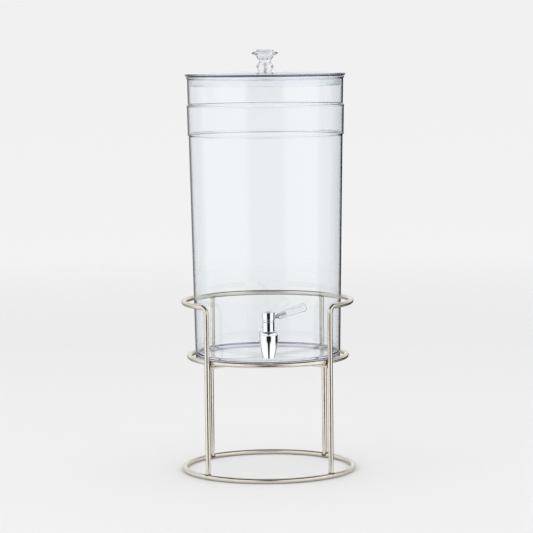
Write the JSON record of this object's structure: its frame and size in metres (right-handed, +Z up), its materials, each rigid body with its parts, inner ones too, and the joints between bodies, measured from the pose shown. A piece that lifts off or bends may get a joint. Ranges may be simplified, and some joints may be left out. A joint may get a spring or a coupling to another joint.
{
  "type": "beverage dispenser",
  "caption": "Tall clear acrylic drink tank with a lever tap low on its front and a loose lid with a faceted knob, standing in a bent and welded rod stand",
  "frame": {"origin": "middle of the overall footprint's box, on the surface the base ring stands on; the tank's and stand's upright axis is 11.5 mm behind it", "axes": "+Z up, -Y the front with the tap, +X the side the closed lever points to"},
  "size_m": [0.2504, 0.2734, 0.6041],
  "materials": {
    "satin_nickel": "satin nickel plate on steel rod",
    "clear_acrylic": "clear, polished",
    "chrome": "polished",
    "steel": "stainless, turned",
    "silicone": "translucent, smooth",
    "rubber": "black, smooth",
    "nylon": "white, turned"
  },
  "bodies": {
    "stand": {"base_ring": "satin_nickel", "guard_hoop": "satin_nickel", "back_leg_left": "satin_nickel", "back_leg_right": "satin_nickel", "shelf_ring": "satin_nickel", "cross_bar": "satin_nickel", "cross_bar_front_half": "satin_nickel", "cross_bar_back_half": "satin_nickel"},
    "tank": {"tank": "clear_acrylic", "tap_body": "chrome", "outer_gasket": "silicone", "inner_gasket": "silicone", "shank_nut": "steel"},
    "tap_handle": {"valve_plug": "nylon", "upper_o_ring": "rubber", "lower_o_ring": "rubber", "tap_hub": "chrome", "hub_screw": "steel", "lever_stud": "chrome", "tap_lever": "clear_acrylic"},
    "lid": {"lid": "clear_acrylic", "knob": "clear_acrylic", "knob_washer": "silicone", "knob_screw": "steel"}
  },
  "joints": [
    {"name": "tank_lift", "type": "slide", "parent": "stand", "child": "tank", "axis": [0, 0, 1], "range_m": [0, 0.1]},
    {"name": "lid_lift", "type": "slide", "parent": "tank", "child": "lid", "axis": [0, 0, 1], "range_m": [0, 0.04]},
    {"name": "tap_turn", "type": "hinge", "parent": "tank", "child": "tap_handle", "pos_m": [0, -0.12331, 0.207], "axis": [0, 0, 1], "range_deg": [-90, 0]}
  ]
}
